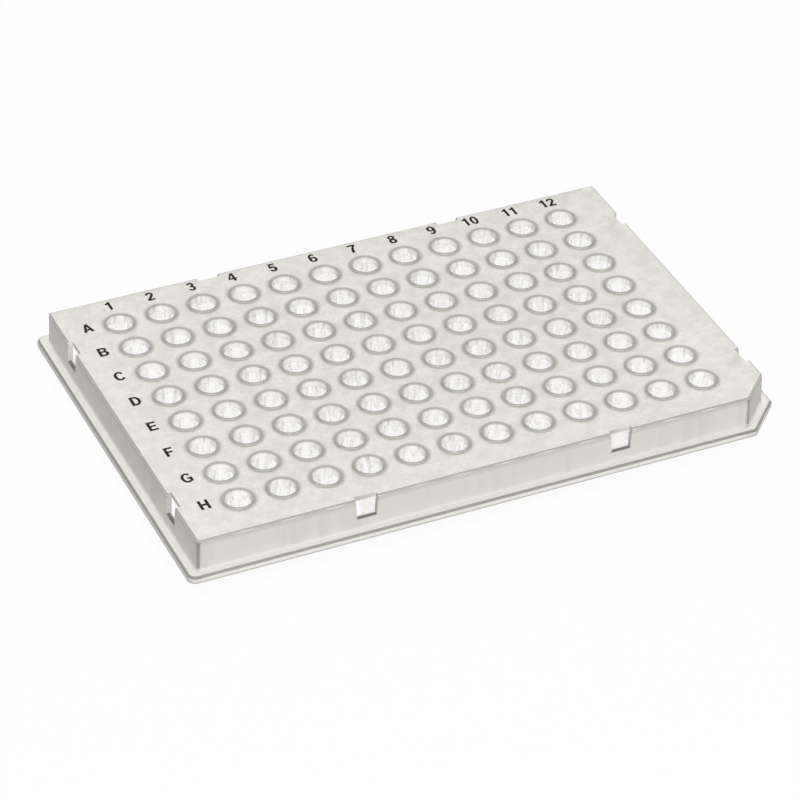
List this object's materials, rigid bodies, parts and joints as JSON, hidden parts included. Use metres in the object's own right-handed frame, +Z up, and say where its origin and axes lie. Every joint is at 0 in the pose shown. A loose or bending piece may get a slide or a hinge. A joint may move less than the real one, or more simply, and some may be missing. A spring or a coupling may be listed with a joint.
{
  "type": "well plate",
  "caption": "Half-skirted plate of small conical wells in natural polypropylene, with raised rims, a flange at the skirt's foot and one cut corner, for thermal cycling of small samples.",
  "frame": {"origin": "middle of the footprint, level with the undersides of the tube tips", "axes": "+X along the column numbers (1 to 12), +Y towards row A, +Z up out of the wells"},
  "size_m": [0.1278, 0.0854, 0.0155],
  "materials": {
    "natural_polypropylene": "translucent, satin as moulded"
  },
  "bodies": {
    "root": {"well_plate": "natural_polypropylene"}
  },
  "joints": []
}
